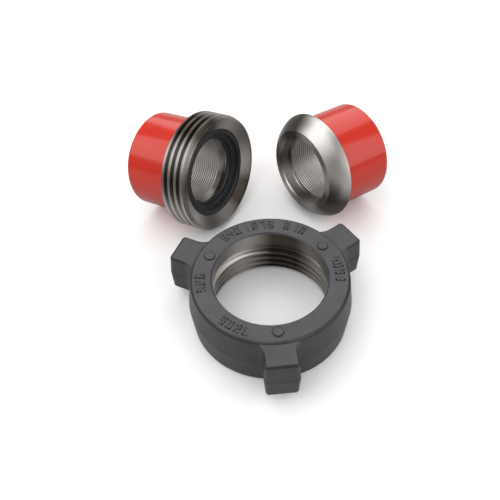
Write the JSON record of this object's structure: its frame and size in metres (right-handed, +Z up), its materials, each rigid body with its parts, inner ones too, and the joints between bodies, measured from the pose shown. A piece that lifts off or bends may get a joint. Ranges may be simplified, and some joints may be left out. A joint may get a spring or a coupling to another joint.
{
  "type": "hammer union",
  "caption": "Hammer union taken apart: lugged wing nut on its face, with two red threaded subs and a lip seal ring lying behind it.",
  "frame": {"origin": "centre of the laid-out set's bounding box, on the ground plane it rests on", "axes": "+Z up; the nut lies towards -Y with its axis along Z, both subs lie towards +Y with their bores facing the nut"},
  "size_m": [0.2246, 0.2682, 0.1021],
  "materials": {
    "nut_forging": "satin dark grey over forged steel",
    "thread_sub_body": "gloss red enamel, machined end left bare",
    "nut_sub_body": "gloss red enamel, machined nose left bare",
    "seal": "smooth black nitrile"
  },
  "bodies": {
    "root": {"wing_nut": "nut_forging", "thread_end_sub": "thread_sub_body", "nut_end_sub": "nut_sub_body", "seal_ring": "seal"}
  },
  "joints": []
}
